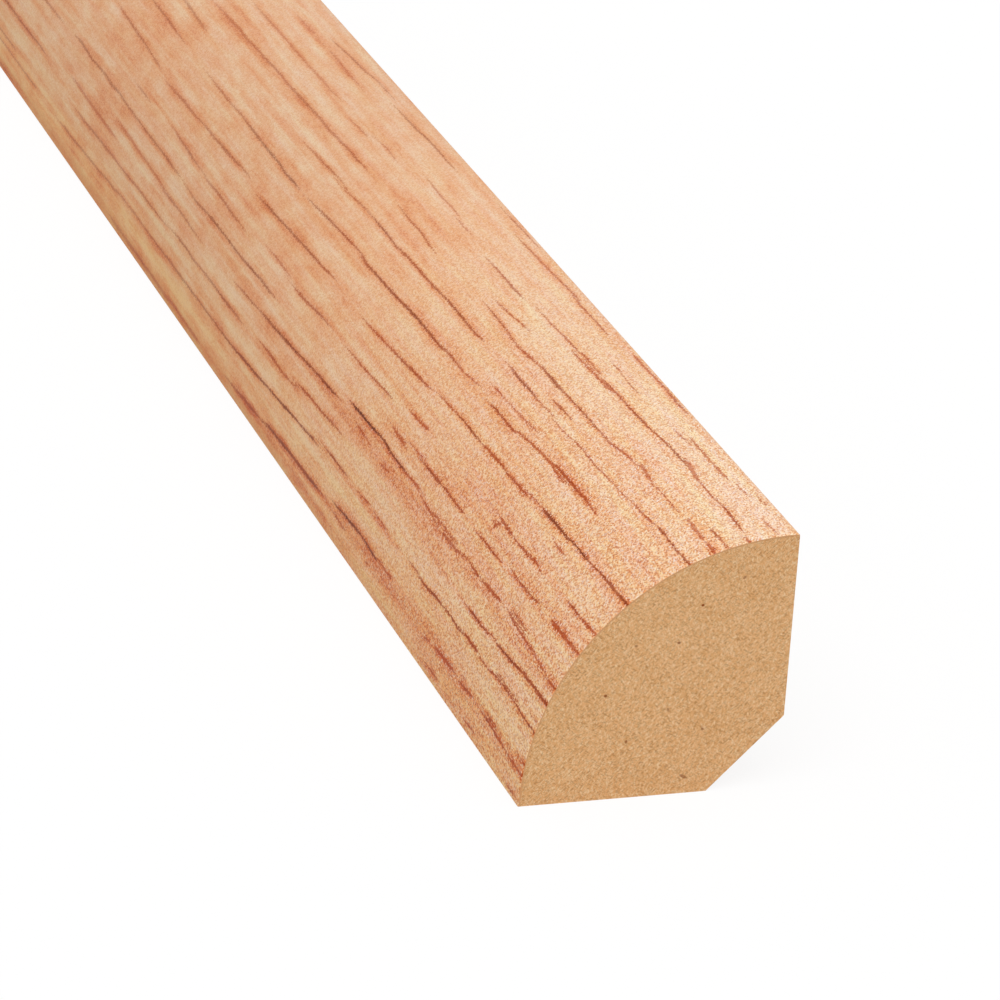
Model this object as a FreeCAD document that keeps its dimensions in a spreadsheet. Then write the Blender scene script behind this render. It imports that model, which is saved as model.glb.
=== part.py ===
import FreeCAD, Part
import math
import os
import Sketcher

# A quarter round moulding: a strip of fibreboard milled to a quarter circle, whose round face is
# wrapped in a thin printed skin. Millimetres. X runs along the length, +Y faces the wall and +Z is up.
# The origin is the middle of the strip on the floor, so the strip reaches half its length each way
# along X, and half its depth each way along Y.

doc = FreeCAD.newDocument("quarter_round_moulding")

# Driving dimensions

DIMENSIONS = [
    ("face_radius", 19.05, "radius of the round face, which is also the height and the depth"),
    ("stock_length", 2387.6, "length of one strip as sold"),
    ("back_bevel", 5.35, "width on each flat of the 45 degree bevel along the inner corner"),
    ("skin_thickness", 0.15, "thickness of the printed skin on the round face"),
]

sizes = doc.addObject("Spreadsheet::Sheet", "Sizes")
for row, (alias, value, meaning) in enumerate(DIMENSIONS, start=1):
    sizes.set(f"A{row}", alias)
    sizes.set(f"B{row}", str(value))
    sizes.setAlias(f"B{row}", alias)
    sizes.set(f"C{row}", meaning)
doc.recompute()

# Sketch helpers

START, END, CENTRE = 1, 2, 3             # the points of a line or an arc
AXIS_ORIGIN = (-1, 1)                    # the sketch's own origin
FLOOR_LINE = -1                          # the sketch's horizontal axis, which lies on the floor
TOP_ARRIS, TOE = math.pi / 2, math.pi    # the ends of the round face, as angles about the inner corner


def section_sketch(body, name):
    """A sketch across the strip, on the body's own YZ plane: sketch x is Y and sketch y is Z."""
    sketch = body.newObject("Sketcher::SketchObject", name)
    plane = next(item for item in body.Origin.OriginFeatures if item.Role == "YZ_Plane")
    sketch.AttachmentSupport = [(plane, "")]
    sketch.MapMode = "FlatFace"
    return sketch


def point(across, up):
    return FreeCAD.Vector(across, up, 0)


def quarter_arc(sketch, centre, radius):
    """A quarter circle about the inner corner, from the top arris at the wall to the toe."""
    circle = Part.Circle(centre, FreeCAD.Vector(0, 0, 1), radius)
    return sketch.addGeometry(Part.ArcOfCircle(circle, TOP_ARRIS, TOE))


def join(sketch, first, first_end, second, second_end):
    sketch.addConstraint(Sketcher.Constraint("Coincident", first, first_end, second, second_end))


def bind(sketch, constraint, expression):
    """Add a measured constraint and tie it to the sheet."""
    index = sketch.addConstraint(constraint)
    sketch.setExpression(f"Constraints[{index}]", expression)


def place_arc(sketch, arc, radius_expression):
    """Centre an arc on the inner corner, end it on the floor and on the wall, and set its radius."""
    radius = sketch.Geometry[arc].Radius
    sketch.addConstraint(Sketcher.Constraint("PointOnObject", arc, CENTRE, FLOOR_LINE))
    sketch.addConstraint(Sketcher.Constraint("PointOnObject", arc, END, FLOOR_LINE))
    sketch.addConstraint(Sketcher.Constraint("Vertical", arc, CENTRE, arc, START))
    bind(sketch, Sketcher.Constraint("Radius", arc, radius), radius_expression)
    centre_across = sketch.Geometry[arc].Center.x
    bind(sketch, Sketcher.Constraint("DistanceX", *AXIS_ORIGIN, arc, CENTRE, centre_across),
         "Sizes.face_radius / 2")


def pad_along_length(body, sketch, name):
    pad = body.newObject("PartDesign::Pad", name)
    pad.Profile = sketch
    pad.SideType = "Symmetric"
    pad.setExpression("Length", "Sizes.stock_length")
    body.Tip = pad
    return pad


# Fibreboard core: a quarter circle with a bevelled inner corner, under the skin

def make_core():
    corner = sizes.face_radius / 2
    radius = sizes.face_radius - sizes.skin_thickness
    bevel = sizes.back_bevel
    body = doc.addObject("PartDesign::Body", "Core")
    body.Label = "mdf_core"
    sketch = section_sketch(body, "CoreSection")

    face = quarter_arc(sketch, point(corner, 0), radius)
    floor = sketch.addGeometry(Part.LineSegment(point(corner - radius, 0), point(corner - bevel, 0)))
    back = sketch.addGeometry(Part.LineSegment(point(corner - bevel, 0), point(corner, bevel)))
    wall = sketch.addGeometry(Part.LineSegment(point(corner, bevel), point(corner, radius)))

    place_arc(sketch, face, "Sizes.face_radius - Sizes.skin_thickness")
    join(sketch, face, END, floor, START)
    join(sketch, floor, END, back, START)
    join(sketch, back, END, wall, START)
    join(sketch, wall, END, face, START)
    sketch.addConstraint(Sketcher.Constraint("Horizontal", floor))
    sketch.addConstraint(Sketcher.Constraint("Vertical", wall))
    bind(sketch, Sketcher.Constraint("DistanceX", back, START, back, END, bevel), "Sizes.back_bevel")
    bind(sketch, Sketcher.Constraint("DistanceY", back, START, back, END, bevel), "Sizes.back_bevel")
    pad_along_length(body, sketch, "CoreLength")
    return body


# Printed skin: the quarter ring between the core and the round face, trimmed flush with both flats

def make_skin():
    corner = sizes.face_radius / 2
    outer_radius = sizes.face_radius
    inner_radius = sizes.face_radius - sizes.skin_thickness
    body = doc.addObject("PartDesign::Body", "Skin")
    body.Label = "wood_grain_skin"
    sketch = section_sketch(body, "SkinSection")

    outer = quarter_arc(sketch, point(corner, 0), outer_radius)
    inner = quarter_arc(sketch, point(corner, 0), inner_radius)
    toe = sketch.addGeometry(Part.LineSegment(point(corner - outer_radius, 0),
                                              point(corner - inner_radius, 0)))
    top = sketch.addGeometry(Part.LineSegment(point(corner, outer_radius),
                                              point(corner, inner_radius)))

    place_arc(sketch, outer, "Sizes.face_radius")
    join(sketch, outer, CENTRE, inner, CENTRE)
    bind(sketch, Sketcher.Constraint("Radius", inner, inner_radius),
         "Sizes.face_radius - Sizes.skin_thickness")
    join(sketch, outer, END, toe, START)
    join(sketch, toe, END, inner, END)
    join(sketch, outer, START, top, START)
    join(sketch, top, END, inner, START)
    sketch.addConstraint(Sketcher.Constraint("Horizontal", toe))
    sketch.addConstraint(Sketcher.Constraint("Vertical", top))
    pad_along_length(body, sketch, "SkinLength")
    return body


pieces = [make_core(), make_skin()]
doc.recompute()

# Check the whole document, then write each piece to its own file

for item in doc.Objects:
    if {"Invalid", "Error"} & set(item.State):
        raise RuntimeError(f"{item.Label} failed: {item.State}")
    if item.isDerivedFrom("Sketcher::SketchObject") and not item.FullyConstrained:
        raise RuntimeError(f"{item.Label} is not fully constrained")

os.makedirs("parts", exist_ok=True)
for piece in pieces:
    if piece.Shape.isNull() or not piece.Shape.isValid():
        raise RuntimeError(f"{piece.Label} has no valid shape")
    piece.Shape.exportStep(f"parts/{piece.Label}.step")
    box = piece.Shape.BoundBox
    print(f"{piece.Label}: {box.XLength:.2f} x {box.YLength:.2f} x {box.ZLength:.2f} mm, "
          f"{piece.Shape.Volume:.0f} cubic mm, {len(piece.Shape.Solids)} solid")
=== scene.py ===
# %% [markdown]
# # A quarter round moulding
# This strip of trim hides the gap where a floor meets a wall. It is fibreboard milled to a quarter circle,
# with a thin skin on the round face that is printed like oak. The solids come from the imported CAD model.
# This lesson gives them their looks: finer meshes of the same size, two finishes, a floor, light and a
# camera.

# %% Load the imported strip
import math
from types import SimpleNamespace

import bpy
import numpy as np
from mathutils import Matrix, Vector


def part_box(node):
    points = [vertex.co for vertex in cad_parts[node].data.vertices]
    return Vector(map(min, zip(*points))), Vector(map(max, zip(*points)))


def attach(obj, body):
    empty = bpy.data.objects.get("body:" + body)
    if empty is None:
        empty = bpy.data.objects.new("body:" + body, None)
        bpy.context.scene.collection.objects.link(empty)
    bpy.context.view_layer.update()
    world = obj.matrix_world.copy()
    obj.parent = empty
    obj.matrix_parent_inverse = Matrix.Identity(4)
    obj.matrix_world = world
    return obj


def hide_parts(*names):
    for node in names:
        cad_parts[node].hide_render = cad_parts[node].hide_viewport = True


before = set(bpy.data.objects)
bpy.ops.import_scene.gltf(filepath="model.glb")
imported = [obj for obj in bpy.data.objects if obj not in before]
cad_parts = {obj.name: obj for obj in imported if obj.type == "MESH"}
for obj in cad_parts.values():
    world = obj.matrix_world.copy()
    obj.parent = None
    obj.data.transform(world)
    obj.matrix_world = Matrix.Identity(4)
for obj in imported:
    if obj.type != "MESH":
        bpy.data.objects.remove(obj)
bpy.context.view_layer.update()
print("nodes:", sorted(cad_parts))

# %% [markdown]
# ## Sizes
# Nothing is measured twice: every size is read from the CAD nodes. The round face is a quarter of a circle
# about the inner corner, where the wall face and the floor face would meet if the bevel weren't there.
# A point on it is named by two distances: u, from the near sawn end, and v, round the arc from the top
# arris.

# %% Read the sizes from the frame
MM = 0.001
skin_low, skin_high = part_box("wood_grain_skin")
core_low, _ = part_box("mdf_core")
LENGTH = skin_high.x - skin_low.x
RADIUS = skin_high.z - skin_low.z
SKIN = core_low.y - skin_low.y
NEAR_END, WALL, FLOOR = skin_high.x, skin_high.y, skin_low.z
ARC = RADIUS * math.pi / 2

core_points = np.array([point.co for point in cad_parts["mdf_core"].data.vertices])
touches_floor = core_points[:, 2] < FLOOR + 0.01 * MM
BEVEL = WALL - core_points[touches_floor, 1].max()
print(f"length {LENGTH / MM:.1f}, radius {RADIUS / MM:.2f}, bevel {BEVEL / MM:.2f}, skin {SKIN / MM:.3f} mm")

# %% [markdown]
# ## Points under the round face
# Both pieces follow the same arc, so one formula serves both: the skin's outside lies at depth 0, and the
# core starts where the skin ends. Sawn and trimmed edges are never razor sharp, so the face also falls away
# a little beside them.

# %% The round face as a function of two distances
def round_face(u, v, depth):
    """x is the near end less u. (y, z) is the inner corner plus a ray of length radius - depth, which is
    turned from straight up towards the toe by the angle v / radius."""
    turn = v / RADIUS
    ray = RADIUS - depth
    place = NEAR_END - u, WALL - ray * np.sin(turn), FLOOR + ray * np.cos(turn)
    return np.stack(np.broadcast_arrays(*place), -1)


def eased(distance, width, depth):
    """How far an eased edge falls away: depth * (1 - distance / width) squared, within width of the edge."""
    return depth * np.clip(1 - distance / width, 0, None) ** 2


# %% [markdown]
# ## The pores of the print
# The printed oak shows long, thin, reddish pores, broken and slightly slanted. A noise texture could draw
# lines like these, but not these lines. So the pores near the sawn end are listed one by one, in
# millimetres, and the rest of the strip gets lanes of random ones in the same style.
# Each pore is: start and end along the strip, its distance from the top arris at both, its half width, how
# strong its ink is, and how black it is, from 0 for red brown to 1 for grey black. A wash is a broad, soft
# streak of ink. Its first five numbers are the same, and the last is its strength, below 0 for a pale one.

# %% Pores beside the sawn end, listed
NEAR_PORES = [
    (5, 7.5, 0.6, 0.7, 0.10, 0.3, 0.0), (0.3, 3, 1.5, 1.65, 0.08, 0.3, 0.0),
    (7, 9, 1.2, 1.35, 0.08, 0.3, 0.0), (10, 18, 1.65, 1.7, 0.11, 0.5, 0.0),
    (22, 34, 0.35, 0.5, 0.12, 0.4, 0.1), (17, 20, 2.1, 2.3, 0.05, 0.3, 0.0),
    (38, 46, 1.1, 1.1, 0.11, 0.5, 0.1), (45, 59, 0.85, 1.3, 0.10, 0.5, 0.2),
    (27, 33, 2.5, 2.45, 0.05, 0.3, 0.0), (57, 65, 0.4, 0.5, 0.08, 0.3, 0.6),
    (75, 91, 1.4, 1.8, 0.11, 0.6, 0.5), (97, 109, 1.4, 2.1, 0.11, 0.6, 0.7),
    (-1, 1, 3.65, 3.65, 0.18, 0.6, 0.1), (1.5, 7, 3.55, 3.45, 0.10, 0.8, 0.4),
    (6.5, 11, 3.5, 3.6, 0.08, 0.7, 0.2), (10.5, 14.5, 3.6, 3.2, 0.20, 0.4, 0.0),
    (13.5, 18, 3.4, 3.5, 0.10, 0.8, 0.4), (17, 22, 3.55, 3.75, 0.10, 0.8, 0.3),
    (21.5, 31, 3.75, 3.95, 0.11, 0.8, 0.2), (27.5, 30, 3.9, 4.25, 0.12, 0.6, 0.0),
    (29, 36, 4.2, 4.3, 0.10, 0.7, 0.0), (31, 36.5, 3.9, 3.95, 0.09, 0.7, 0.0),
    (35.5, 40, 4.0, 4.15, 0.13, 0.8, 0.1), (39, 44.5, 4.15, 4.25, 0.07, 0.6, 0.1),
    (47.5, 56, 4.6, 4.7, 0.09, 0.6, 0.1), (62, 65, 4.4, 4.4, 0.09, 0.4, 0.0),
    (66, 74, 4.1, 4.1, 0.08, 0.3, 0.0), (93, 97.5, 1.3, 1.4, 0.10, 0.5, 0.6),
    (97, 107, 3.1, 3.0, 0.10, 0.5, 0.1), (111, 116, 3.1, 3.1, 0.09, 0.4, 0.1),
    (80, 85, 5.1, 5.1, 0.10, 0.5, 0.1), (86, 90, 5.7, 5.8, 0.10, 0.5, 0.1),
    (96, 122, 5.4, 5.6, 0.10, 0.5, 0.1), (-2, 4, 5.3, 5.25, 0.12, 0.45, 0.0),
    (-2, 2, 6.3, 6.15, 0.17, 0.55, 0.0), (2, 6, 6.25, 6.1, 0.12, 0.35, 0.0),
    (7.5, 12, 6.4, 6.3, 0.07, 0.6, 0.1), (12, 16, 6.4, 6.15, 0.14, 0.4, 0.0),
    (16, 19, 6.4, 6.55, 0.08, 0.6, 0.1), (18, 21, 6.55, 6.85, 0.12, 0.65, 0.0),
    (20.5, 31, 6.85, 7.0, 0.11, 0.75, 0.35), (30.5, 36, 7.1, 7.1, 0.13, 0.8, 0.5),
    (35.5, 39, 7.05, 7.2, 0.07, 0.6, 0.1), (37, 40.5, 7.3, 7.5, 0.14, 0.7, 0.0),
    (40, 48.5, 7.4, 7.3, 0.07, 0.6, 0.2), (42, 48.5, 6.0, 6.45, 0.10, 0.6, 0.0),
    (61, 71, 7.6, 7.5, 0.10, 0.5, 0.1), (80, 126, 7.6, 8.4, 0.12, 0.7, 0.3),
    (-2, 7, 8.15, 8.1, 0.10, 0.7, 0.4), (7, 11.5, 8.25, 8.45, 0.10, 0.6, 0.0),
    (12, 17.5, 8.55, 8.7, 0.05, 0.5, 0.1), (17, 23.5, 8.65, 8.8, 0.06, 0.55, 0.2),
    (23.5, 27, 8.9, 9.0, 0.05, 0.5, 0.1), (26, 30, 7.95, 8.05, 0.12, 0.5, 0.0),
    (28, 33, 8.8, 8.95, 0.06, 0.55, 0.1), (31.5, 38.5, 8.9, 9.0, 0.10, 0.7, 0.4),
    (43.5, 72, 9.25, 9.8, 0.12, 0.8, 0.45), (72, 79, 9.7, 10.1, 0.10, 0.5, 0.2),
    (80, 90, 9.8, 10.2, 0.11, 0.6, 0.4), (27, 33, 10.5, 10.75, 0.06, 0.45, 0.0),
    (34, 37, 10.75, 10.85, 0.09, 0.55, 0.0), (12, 15, 10.95, 10.9, 0.07, 0.5, 0.0),
    (14, 22, 10.9, 11.0, 0.13, 0.8, 0.1), (18.5, 22, 11.3, 11.25, 0.09, 0.6, 0.0),
    (21, 29, 11.05, 11.55, 0.13, 0.7, 0.0), (28.5, 35, 11.7, 11.85, 0.10, 0.75, 0.4),
    (38, 41, 11.65, 11.8, 0.07, 0.6, 0.0), (40.5, 46, 11.85, 11.85, 0.12, 0.8, 0.2),
    (45.5, 67, 11.95, 12.5, 0.12, 0.85, 0.5), (67, 81, 12.2, 12.8, 0.12, 0.7, 0.4),
    (83, 104, 13.0, 12.8, 0.12, 0.8, 0.8), (104, 113, 12.9, 12.8, 0.11, 0.6, 0.4),
    (121, 131, 10.6, 10.3, 0.12, 0.6, 0.4), (122, 134, 12.7, 12.5, 0.11, 0.5, 0.6),
    (-2, 8, 13.1, 13.4, 0.12, 0.9, 0.5), (7.5, 17.5, 13.45, 13.6, 0.12, 0.95, 0.7),
    (17, 20.5, 13.6, 13.7, 0.06, 0.6, 0.1), (20, 25.5, 13.9, 14.05, 0.10, 0.7, 0.1),
    (25, 31, 13.95, 14.1, 0.13, 0.75, 0.1), (30.5, 37, 14.1, 14.2, 0.10, 0.8, 0.5),
    (36.5, 40.5, 14.2, 14.4, 0.08, 0.6, 0.1), (42.3, 58, 14.65, 15.3, 0.12, 0.8, 0.2),
    (10.5, 13, 14.5, 14.45, 0.12, 0.55, 0.0), (67, 88, 15.2, 15.9, 0.12, 0.8, 0.7),
    (92, 118, 15.5, 16.1, 0.12, 0.7, 0.6), (121, 138, 15.7, 15.2, 0.11, 0.6, 0.5),
    (-2, 3, 16.15, 16.2, 0.09, 0.5, 0.0), (2.8, 6, 16.3, 16.35, 0.12, 0.65, 0.2),
    (11.3, 14, 16.5, 16.4, 0.08, 0.6, 0.0), (13, 18, 16.45, 16.55, 0.12, 0.75, 0.2),
    (17.5, 21.3, 16.45, 16.35, 0.12, 0.6, 0.0), (20.1, 21.4, 17.1, 17.0, 0.30, 0.55, 0.0),
    (38, 40, 16.65, 16.75, 0.12, 0.65, 0.0), (39.5, 42.5, 16.8, 16.8, 0.10, 0.65, 0.1),
    (46, 57, 17.4, 17.8, 0.10, 0.5, 0.2), (62, 72, 17.8, 18.2, 0.11, 0.6, 0.3),
    (74, 80, 17.9, 17.9, 0.09, 0.4, 0.1), (-2, 6, 18.0, 17.95, 0.16, 0.75, 0.0),
    (8.3, 15, 18.1, 18.1, 0.09, 0.6, 0.1), (16.5, 22.5, 18.3, 18.55, 0.10, 0.65, 0.5),
    (25.5, 31, 18.35, 18.4, 0.10, 0.7, 0.4), (30.5, 36, 18.4, 18.5, 0.12, 0.8, 0.6),
    (35.5, 39, 18.3, 18.4, 0.08, 0.35, 0.0), (39, 43.5, 18.85, 18.65, 0.12, 0.6, 0.0),
    (86, 99, 18.6, 18.5, 0.11, 0.6, 0.4), (100, 111, 18.4, 18.1, 0.12, 0.7, 0.7),
    (118, 123, 18.3, 18.3, 0.12, 0.5, 0.4), (-1, 2, 20.9, 20.85, 0.12, 0.55, 0.0),
    (2, 6, 20.8, 20.55, 0.10, 0.55, 0.0), (5, 12, 20.55, 20.2, 0.10, 0.6, 0.1),
    (7.5, 11, 20.0, 19.9, 0.09, 0.55, 0.0), (13.2, 17.5, 20.15, 20.3, 0.13, 0.7, 0.2),
    (18, 22.5, 20.4, 20.35, 0.10, 0.65, 0.2), (22, 27, 20.4, 20.7, 0.14, 0.4, 0.0),
    (24, 30, 20.2, 20.3, 0.08, 0.4, 0.0), (28, 33, 20.5, 20.2, 0.10, 0.4, 0.0),
    (33, 38, 20.0, 20.0, 0.09, 0.55, 0.0), (36.5, 44, 20.05, 19.95, 0.13, 0.95, 0.9),
    (43, 51.5, 19.95, 20.2, 0.13, 0.95, 0.9), (39, 41, 21.1, 21.3, 0.10, 0.4, 0.0),
    (45, 49, 21.05, 20.85, 0.08, 0.45, 0.0), (53, 74, 20.8, 21.8, 0.13, 0.9, 0.8),
    (74, 82, 21.8, 22.1, 0.10, 0.5, 0.2), (74, 101, 20.0, 20.5, 0.12, 0.8, 0.7),
    (103, 142, 20.3, 20.2, 0.11, 0.6, 0.8), (-1, 6, 22.05, 22.15, 0.13, 0.8, 0.4),
    (5.5, 11, 22.2, 22.4, 0.11, 0.85, 0.5), (11, 13, 22.35, 22.4, 0.06, 0.5, 0.0),
    (12.5, 18, 22.5, 22.55, 0.10, 0.8, 0.6), (50, 62, 22.5, 23.0, 0.12, 0.7, 0.3),
    (62, 72, 23.5, 23.5, 0.12, 0.7, 0.2), (93, 107, 22.4, 22.3, 0.11, 0.6, 0.7),
    (105, 122, 22.2, 21.9, 0.14, 0.4, 0.0), (121, 138, 23.2, 23.1, 0.14, 0.6, 0.0),
    (0.3, 1.5, 23.6, 23.6, 0.08, 0.5, 0.0), (-1, 9, 24.25, 24.05, 0.09, 0.75, 0.4),
    (4, 9, 23.95, 23.8, 0.07, 0.5, 0.1), (8.5, 11, 24.05, 24.35, 0.07, 0.7, 0.2),
    (10.5, 13, 24.35, 24.2, 0.07, 0.6, 0.1), (12.8, 17, 24.15, 24.15, 0.11, 0.8, 0.5),
    (16.5, 21.5, 24.25, 24.15, 0.09, 0.75, 0.4), (21.3, 27, 24.25, 24.45, 0.12, 0.85, 0.5),
    (26.5, 30, 24.4, 24.3, 0.08, 0.6, 0.1), (35.5, 38.5, 24.3, 24.3, 0.07, 0.45, 0.0),
    (40.3, 43, 24.2, 24.4, 0.09, 0.6, 0.1), (46, 53, 24.35, 24.5, 0.10, 0.65, 0.1),
    (53, 81, 24.9, 26.3, 0.13, 0.9, 0.7), (81, 107, 26.2, 26.4, 0.12, 0.8, 0.6),
    (77, 100, 23.9, 24.1, 0.11, 0.6, 0.7), (102, 134, 24.3, 24.9, 0.11, 0.6, 0.5),
    (-1, 1.6, 26.7, 26.6, 0.09, 0.6, 0.0), (-1, 2, 27.4, 27.6, 0.12, 0.5, 0.0),
    (1.7, 3.5, 27.55, 27.55, 0.13, 0.7, 0.0), (3.5, 9.5, 27.4, 27.1, 0.11, 0.7, 0.1),
    (5.8, 8.3, 26.9, 26.75, 0.11, 0.65, 0.0), (11.3, 15, 26.95, 27.2, 0.16, 0.8, 0.1),
    (16, 21, 27.15, 27.25, 0.13, 0.75, 0.1), (22, 23.3, 27.4, 27.6, 0.11, 0.5, 0.0),
    (31.5, 36, 26.75, 26.8, 0.10, 0.6, 0.0), (35, 41, 26.85, 26.7, 0.13, 0.95, 0.8),
    (40, 47.5, 26.7, 27.05, 0.15, 0.95, 0.8), (36.8, 38, 27.9, 28.0, 0.10, 0.4, 0.0),
    (43.5, 47, 27.9, 27.8, 0.08, 0.4, 0.0), (10, 13, 29.2, 29.2, 0.12, 0.45, 0.0),
    (19, 22.5, 29.05, 29.05, 0.10, 0.5, 0.0), (0.5, 3, 29.5, 29.5, 0.10, 0.4, 0.0),
    (50, 67, 27.6, 28.2, 0.17, 0.9, 0.6), (67, 78, 28.4, 29.0, 0.18, 0.8, 0.4),
    (106, 117, 26.4, 26.6, 0.11, 0.5, 0.4), (116, 138, 26.7, 27.4, 0.11, 0.6, 0.5),
    (86, 118, 29.25, 29.3, 0.22, 0.35, 0.2),
]
NEAR_STRETCH = max(end for _, end, *_ in NEAR_PORES)
print(len(NEAR_PORES), "pores by hand over the first", NEAR_STRETCH, "mm")

# %% Washes beside the sawn end, listed
NEAR_WASHES = [
    (-30, 160, 0.0, 0.0, 0.8, 0.5), (18, 40, 0.3, 0.5, 0.35, 0.5), (36, 62, 1.0, 1.2, 0.3, 0.45),
    (-8, 6, 6.1, 6.2, 0.6, 0.5), (8, 20, 6.9, 7.2, 0.7, 0.35), (-8, 15, 9.5, 9.8, 0.6, 0.3),
    (12, 24, 10.9, 11.4, 0.5, 0.4), (-8, 18, 11.9, 12.2, 0.8, 0.3), (20, 48, 13.3, 13.5, 0.5, 0.3),
    (20, 34, 16.8, 17.6, 1.0, 0.5), (-8, 18, 19.2, 19.4, 0.5, -0.5), (12, 52, 20.4, 21.2, 0.9, 0.7),
    (22, 33, 21.8, 22.4, 0.7, 0.4), (12, 36, 23.2, 23.3, 0.4, -0.7), (20, 48, 22.4, 22.4, 0.4, 0.3),
    (30, 50, 24.4, 24.3, 0.6, 0.4), (-5, 3, 26.8, 27.4, 0.8, 0.7), (4, 48, 27.3, 27.2, 0.8, 1.0),
    (8, 30, 29.3, 29.2, 0.5, 0.5), (30, 60, 28.6, 29.3, 0.8, 0.3), (-8, 30, 25.3, 25.6, 0.6, -0.35),
    (57, 72, 5.6, 6.3, 0.9, 0.45), (60, 75, 7.4, 7.5, 0.4, 0.5), (45, 60, 12.9, 13.3, 0.8, -0.5),
    (62, 82, 13.0, 13.6, 0.8, 0.45), (68, 95, 16.0, 16.6, 1.0, 0.45), (45, 60, 18.3, 19.4, 0.9, -0.6),
    (71, 84, 18.4, 18.9, 0.8, -0.6), (45, 55, 21.2, 21.5, 0.7, 0.6), (50, 62, 24.0, 24.2, 0.5, -0.4),
    (60, 74, 23.3, 23.7, 0.5, 0.6), (45, 60, 25.5, 26.0, 0.7, -0.3), (45, 60, 28.0, 28.6, 1.0, 0.5),
    (55, 95, 29.3, 29.5, 0.5, 0.6), (95, 125, 1.4, 2.0, 0.4, 0.4), (98, 115, 3.0, 3.0, 0.4, 0.5),
    (90, 125, 7.9, 8.4, 0.5, 0.5), (103, 112, 10.5, 10.8, 0.7, -0.6), (115, 135, 12.5, 13.5, 1.2, 0.6),
    (118, 132, 22.0, 22.6, 1.0, 0.5), (90, 100, 22.0, 23.5, 1.0, 0.4), (100, 112, 18.5, 19.0, 0.8, -0.4),
    (50, 78, 27.9, 28.9, 0.4, 0.8), (49, 56, 3.4, 3.5, 0.35, 0.6), (60, 75, 6.0, 6.4, 0.6, 0.7),
    (66, 95, 6.9, 7.6, 0.6, 0.8), (80, 95, 4.3, 4.4, 0.5, 0.6), (78, 95, 1.4, 1.7, 0.5, 0.8),
    (91, 120, 2.6, 3.1, 0.7, 0.8), (95, 122, 5.5, 5.4, 0.4, 0.8), (90, 126, 8.1, 8.4, 0.5, 0.6),
    (93, 113, 9.5, 9.7, 0.4, 0.8), (113, 124, 7.0, 7.1, 0.6, 0.7), (40, 75, 25.3, 25.9, 0.7, -0.6),
    (45, 125, 23.0, 23.0, 0.5, -0.5), (80, 125, 24.9, 25.3, 0.5, -0.7), (80, 125, 27.6, 28.2, 0.5, -0.5),
    (-8, 22, 4.3, 4.5, 0.4, -0.9), (-8, 20, 5.9, 5.9, 0.4, 0.5), (-8, 20, 20.8, 20.9, 0.4, 0.5),
    (-8, 20, 21.6, 21.6, 0.3, -0.5), (-8, 22, 23.5, 23.7, 0.6, -0.7), (-8, 20, 26.1, 26.1, 0.4, -0.5),
    (18, 50, 5.1, 5.3, 0.4, -0.6), (20, 48, 17.9, 17.9, 0.4, 0.5), (20, 46, 19.4, 19.4, 0.4, -0.4),
    (20, 48, 23.9, 23.9, 0.4, -0.5),
]
print(len(NEAR_WASHES), "washes by hand")

# %% Pores and washes along the rest of the strip, at random
LANE = 1.7
WASHES_PER_MM = 0.33


def drift(u):
    """The grain's slow sway across the face, in millimetres: two sines of unlike wavelength."""
    return 0.9 * np.sin(u / 83) + 0.5 * np.sin(u / 37 + 1)


def scattered_pores(start, end, width, draw):
    """Pores end to end in lanes that sway with the grain, each a little off its lane's middle."""
    pores = []
    for lane in np.arange(-LANE, width + LANE, LANE):
        at = start + draw.uniform(0, 25)
        while at < end:
            stop = min(at + draw.uniform(14, 50), end)
            middle = lane + draw.normal(0, 0.3)
            half_width, strength = draw.uniform(0.07, 0.13), draw.uniform(0.4, 1.0)
            black = draw.random() ** 1.5
            pores.append((at, stop, middle + drift(at), middle + drift(stop), half_width, strength, black))
            at = stop + draw.exponential(5)
    return pores


def scattered_washes(start, end, width, draw):
    """Washes strewn evenly over the face, in the grain's direction, some deeper and some paler."""
    count = round((end - start) * WASHES_PER_MM)
    at, middle = draw.uniform(start, end, count), draw.uniform(0, width, count)
    stop = at + draw.uniform(14, 40, count)
    half_width, strength = draw.uniform(0.3, 1.1, count), draw.uniform(-0.6, 0.7, count)
    return np.stack([at, stop, middle + drift(at), middle + drift(stop), half_width, strength], -1)


draw = np.random.default_rng(7)
pores = NEAR_PORES + scattered_pores(NEAR_STRETCH, LENGTH / MM, ARC / MM, draw)
washes = NEAR_WASHES + scattered_washes(NEAR_STRETCH, LENGTH / MM, ARC / MM, draw).tolist()
print(len(pores), "pores and", len(washes), "washes in all")

# %% [markdown]
# ## Painting the pores on a grid
# A pore is a long thin lens, hardly wider than the mesh's rows, so ink painted straight on to the vertices
# would blur. Instead, each vertex carries numbers that change evenly from row to row: how far across it
# lies from the middle of its nearest pore, and that pore's half width. The finish compares the two, and so
# it cuts an edge much finer than the rows. A wash is broad and soft, so its strength can be painted as it
# is.

# %% Nearest pore and washes at each point of a grid
PORE_FIELDS = ("offset", "half_width", "ink", "black", "inside")
MARGIN, SWAY, UNEVEN = 9, 0.04, 0.2
TAPER_IN, TAPER_OUT = 0.8, 1.2
# At places along the strip: how many times longer the tapers are, and how much of the width is left.
TAPER_PLACES, TAPER_TIMES = (20, 80, 150, 300), (1, 3, 3, 1)
WIDTH_PLACES, WIDTH_LEFT = (20, 60, 110, 150), (0.7, 0.65, 0.75, 0.9)
WASH_ENDS = 1.1


def wander(u, step, draw):
    """A smooth random line: one normal number for each step, blended between steps by 3 f^2 - 2 f^3."""
    place = (u - u[0]) / step
    knot = np.floor(place).astype(int)
    share = (place - knot) ** 2 * (3 - 2 * (place - knot))
    height = draw.standard_normal(knot[-1] + 2)
    return height[knot] * (1 - share) + height[knot + 1] * share


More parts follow.
